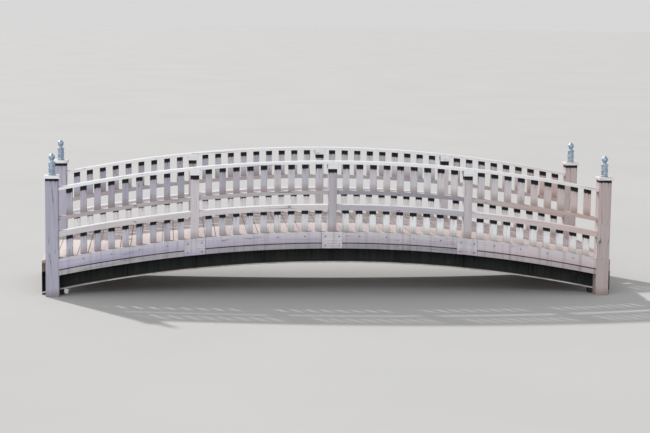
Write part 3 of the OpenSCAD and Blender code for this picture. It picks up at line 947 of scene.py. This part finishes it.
class FOOTBRIDGE_OT_finials(bpy.types.Operator):
    """Turns the onion-shaped metal finials with their bands"""
    bl_idname = "footbridge.finials"
    bl_label = "Finials"

    def execute(self, context):
        turns = 48
        for corner, seed in CORNERS:
            lo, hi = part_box(f"{corner}_finial")
            x, y, _ = middle(f"{corner}_finial")
            *rings, (_, tip) = self.outline(lo.z, hi.z)
            stock = Stock(121 + seed)
            stock.rings([[(x + a, y + b, z) for a, b, z in circle(radius, height, turns)]
                         for radius, height in rings] + [[(x, y, tip)]])
            piece = stock.piece(f"{corner}_onion_finial", "zinc_sheet")
            piece.data.shade_smooth()
            piece.data.set_sharp_from_angle(angle=math.radians(50))
            hand_in(piece, "finial_metal", f"{corner}_finial")
        return {"FINISHED"}

    def outline(self, bottom, top):
        """Half outline, as radius and height: drum with three bands, neck, bulb and point."""
        drum, neck, bulb, band, out = 45 * MM, 26 * MM, 44 * MM, 22 * MM, 7 * MM
        drum_h, neck_h, tip, sunk = 180 * MM, 30 * MM, 60 * MM, 0.8
        points = []
        for z in (0.0, (drum_h - band) / 2, drum_h - band):
            # A half-round band that stands out from the drum
            for i in range(9):
                a = math.pi * (i / 8 - 0.5)
                points.append((drum + out * math.cos(a) ** 0.7 if 0 < i < 8 else drum,
                               z + band / 2 + band / 2 * math.sin(a)))
        points += [(neck + 3 * MM, drum_h + 1 * MM), (neck, drum_h + 4 * MM),
                   (neck, drum_h + neck_h - 1 * MM)]
        centre = drum_h + neck_h + bulb * sunk
        start = -math.asin(sunk)
        tip_from = math.asin(bulb / tip)
        for i in range(15):
            a = start + (tip_from - start) * i / 14
            points.append((bulb * math.cos(a), centre + bulb * math.sin(a)))
        edge_r, edge_z = points[-1]
        for i in range(1, 7):
            t = i / 6
            # The point draws in with a slight hollow, as spun sheet does
            hollow = 0.06 * math.sin(math.pi * t)
            points.append((edge_r * (1 - t) * (1 - hollow),
                           edge_z + (centre + tip - edge_z) * t))
        scale = (top - bottom) / points[-1][1]
        return [(r, bottom + z * scale) for r, z in points]


class FOOTBRIDGE_OT_fixings(bpy.types.Operator):
    """Adds the bolts of the steelwork and of the side boards"""
    bl_idname = "footbridge.fixings"
    bl_label = "Bolts"

    def execute(self, context):
        fixings = context.scene.bridge_fixings
        bolt, dome = fixings.bolt_width, fixings.dome_width
        # Half a stiffener's thickness, the cross beam's web beside it and the girder's flange
        plate, web, flange = 6 * MM, 8 * MM, 18 * MM
        off_web, stagger, apart = 42 * MM, 0.2, 90 * MM
        height = (GIRDER_LOW + GIRDER_TOP) / 2
        shoe = middle("right_bearing_shoes")[0]
        reach = BLOCK_HALF * 0.66
        for name, side in SIDES:
            block_y, fascia_y = [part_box(f"{name}_{part}")[side > 0].y
                                 for part in ("splice_blocks", "fascia")]
            stock = Stock(131)
            y = side * (GIRDER_Y - 35 * MM)
            for z in (height - 40 * MM, height + 50 * MM):
                stock.head((-plate, y, z), (-1, 0, 0), bolt, 11 * MM)
                stock.head((plate + web, y, z), (1, 0, 0), bolt, 14 * MM)
            self.repeat(stock, f"{name}_frame_bolts", per_bay=2 * BAYS + 1, first=-HALF_LEN,
                        pitch=BAY_LEN / 2, seed=3)
            # Screws up through the upper flange into the nailer, and bolts into the wedges
            screws, bolts = Stock(132), Stock(134)
            for i, y in enumerate((GIRDER_Y - off_web, GIRDER_Y + off_web)):
                screws.head((stagger * i, side * y, GIRDER_TOP - flange), (0, 0, -1), 19 * MM,
                            9 * MM)
                for x in (-apart, apart):
                    bolts.head((x, side * y, GIRDER_LOW + flange), (0, 0, 1), bolt, 12 * MM)
            self.repeat(screws, f"{name}_nailer_screws", per_bay=4, bays=BAYS,
                        first=0.16 - HALF_LEN, pitch=BAY_LEN / 4, seed=6)
            self.repeat(bolts, f"{name}_wedge_bolts", per_bay=2, first=-shoe, pitch=2 * shoe,
                        seed=8)
            stock = Stock(133)
            for x in (-reach, reach):
                for z in (DECK_TOP - 62 * MM, LIP_LOW + 42 * MM):
                    stock.head((x, block_y, z), (0, side, 0), dome, 6 * MM, 14)
            self.repeat(stock, f"{name}_block_bolts", per_bay=BAYS - 1, first=POST_XS[0],
                        pitch=BAY_LEN, seed=5)
            # Coach screws hold the fascia under every second baluster
            stock = Stock(137)
            stock.head((0, fascia_y, DECK_TOP - 60 * MM), (0, side, 0), bolt, 4 * MM)
            self.repeat(stock, f"{name}_fascia_screws", per_bay=PER_BAY // 2, bays=BAYS,
                        first=2 * BALUSTER_PITCH - HALF_LEN, pitch=2 * BALUSTER_PITCH,
                        play=3 * MM, seed=7)
        return {"FINISHED"}

    def repeat(self, stock, name, **values):
        """Fixes a set of heads, repeated along the arch, to the bridge."""
        hand_in(row(stock, name, "galvanised_steel", **values), "finial_metal")


class FOOTBRIDGE_OT_steel_and_beams(bpy.types.Operator):
    """Gives the girders, cross beams, plates and hidden beams their finishes"""
    bl_idname = "footbridge.steel_and_beams"
    bl_label = "Steel and beams"

    def execute(self, context):
        steel = ("near_girder", "far_girder", "left_bearing_shoes", "right_bearing_shoes",
                 "cross_beams", "near_post_cleats", "far_post_cleats")
        beams = ("near_nailer", "far_nailer", "middle_stringer", "near_rim_beam",
                 "far_rim_beam")
        for names, material in ((steel, "oil_painted_steel"), (beams, "treated_beam")):
            for name in names:
                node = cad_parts[name]
                if not node.material_slots:
                    raise RuntimeError(f"{name} has no material slot")
                for slot in node.material_slots:
                    slot.link = "OBJECT"
                    slot.material = finish(material)
        return {"FINISHED"}


class FOOTBRIDGE_OT_stage(bpy.types.Operator):
    """Makes the floor, the soft light and the camera"""
    bl_idname = "footbridge.stage"
    bl_label = "Stage"

    def execute(self, context):
        for build in (self.floor, self.light, self.camera):
            build(context.scene)
        context.scene.view_settings.view_transform = "Standard"
        return {"FINISHED"}

    def floor(self, scene):
        """A wide plain floor."""
        mesh = bpy.data.meshes.new("floor")
        reach = 150.0
        corners = [(x, y, 0) for x, y in oblong(-reach, reach, -reach, reach)]
        mesh.from_pydata(corners, [], [(0, 1, 2, 3)])
        floor = bpy.data.objects.new("floor", mesh)
        scene.collection.objects.link(floor)
        # Matt painted floor: a faint cloudiness keeps it from looking cut out
        material, tree, place = new_finish("matt_floor_paint")
        tint = scene.bridge_stage.floor[:]
        cloud = add(tree, NOISE, (place, None, 0.3, 2.0, 0.5))
        shaded = [0.96 * c for c in tint]
        paint = weathered(tree, tint, [(shaded, (cloud, 0.3, 0.7))])
        shader = tree.nodes["Principled BSDF"]
        tree.links.new(paint, shader.inputs["Base Color"])
        shader.inputs["Roughness"].default_value = 0.95
        mesh.materials.append(material)

    def light(self, scene):
        """A high key from behind, as in the photograph, a soft fill in front and an even sky."""
        settings = scene.bridge_stage
        lamps = (("key", settings.key, 2.5, (-0.85, 1.13, 1.0), (1.0, 0.98, 0.95)),
                 ("fill", settings.fill, 70, (-0.5, -0.85, 0.35), (0.97, 0.98, 1.0)))
        for name, strength, spread, direction, tint in lamps:
            light = bpy.data.lights.new(name, "SUN")
            light.energy, light.color, light.angle = strength, tint, math.radians(spread)
            lamp = bpy.data.objects.new(name, light)
            lamp.rotation_euler = Vector(direction).to_track_quat("Z", "Y").to_euler()
            scene.collection.objects.link(lamp)
        world = bpy.data.worlds.new("studio")
        world.use_nodes = True
        tree = world.node_tree
        back = tree.nodes["Background"]
        # The backdrop is seen and mirrored at the floor's own brightness, so no horizon shows
        path = add(tree, "ShaderNodeLightPath", out=None)
        seen = path["Is Camera Ray"]
        for ray in ("Is Glossy Ray", "Is Transmission Ray"):
            seen = add(tree, MATH, (seen, path[ray]), operation="MAXIMUM")
        strength = add(tree, RANGE, (seen, 0.0, 1.0, settings.sky, settings.backdrop))
        tree.links.new(strength, back.inputs["Strength"])
        back.inputs["Color"].default_value = (0.99, 0.99, 1.0, 1)
        scene.world = world

    def camera(self, scene):
        """The photograph's viewpoint, with a longer lens so that the bridge fills the frame."""
        position = Vector((-2.313, -23.94, 4.279))
        target = Vector((0.0, 0.0, (CAD_BOX[0].z + CAD_BOX[1].z) / 2 - 0.02))
        roll = math.radians(0.82)
        focal_pixels, image_width = 1670, 650
        aim = (target - position).to_track_quat("-Z", "Y").to_matrix().to_4x4()
        data = bpy.data.cameras.new("camera")
        data.sensor_width = 36
        data.lens = data.sensor_width * focal_pixels / image_width
        camera = bpy.data.objects.new("camera", data)
        camera.matrix_world = Matrix.Translation(position) @ aim @ Matrix.Rotation(roll, 4, "Z")
        scene.collection.objects.link(camera)
        scene.camera = camera


class FOOTBRIDGE_PT_panel(bpy.types.Panel):
    """Sidebar panel with the sizes, the colours and the steps in their order"""
    bl_idname = "FOOTBRIDGE_PT_panel"
    bl_label = "Footbridge"
    bl_space_type = "VIEW_3D"
    bl_region_type = "UI"
    bl_category = "Footbridge"

    def draw(self, context):
        for group in SETTINGS:
            box = self.layout.box()
            held = getattr(context.scene, group)
            for name in held.__annotations__:
                box.prop(held, name)
        for step in STEPS:
            self.layout.operator(step.bl_idname)


SETTINGS = {
    "bridge_timber": TimberSizes,
    "bridge_fixings": FixingSizes,
    "bridge_colours": FinishColours,
    "bridge_stage": StageSettings,
}
STEPS = (
    FOOTBRIDGE_OT_deck, FOOTBRIDGE_OT_side_boards, FOOTBRIDGE_OT_uprights,
    FOOTBRIDGE_OT_rails, FOOTBRIDGE_OT_balusters, FOOTBRIDGE_OT_finials,
    FOOTBRIDGE_OT_fixings, FOOTBRIDGE_OT_steel_and_beams, FOOTBRIDGE_OT_stage)


def register():
    for made in (*SETTINGS.values(), *STEPS, FOOTBRIDGE_PT_panel):
        bpy.utils.register_class(made)
    for name, group in SETTINGS.items():
        setattr(bpy.types.Scene, name, bpy.props.PointerProperty(type=group))


def unregister():
    for name in SETTINGS:
        delattr(bpy.types.Scene, name)
    for made in (FOOTBRIDGE_PT_panel, *reversed(STEPS), *reversed(list(SETTINGS.values()))):
        bpy.utils.unregister_class(made)


def main():
    register()
    for step in STEPS:
        call = getattr(bpy.ops.footbridge, step.bl_idname.split(".")[1])
        call()


if __name__ == "__main__":
    main()
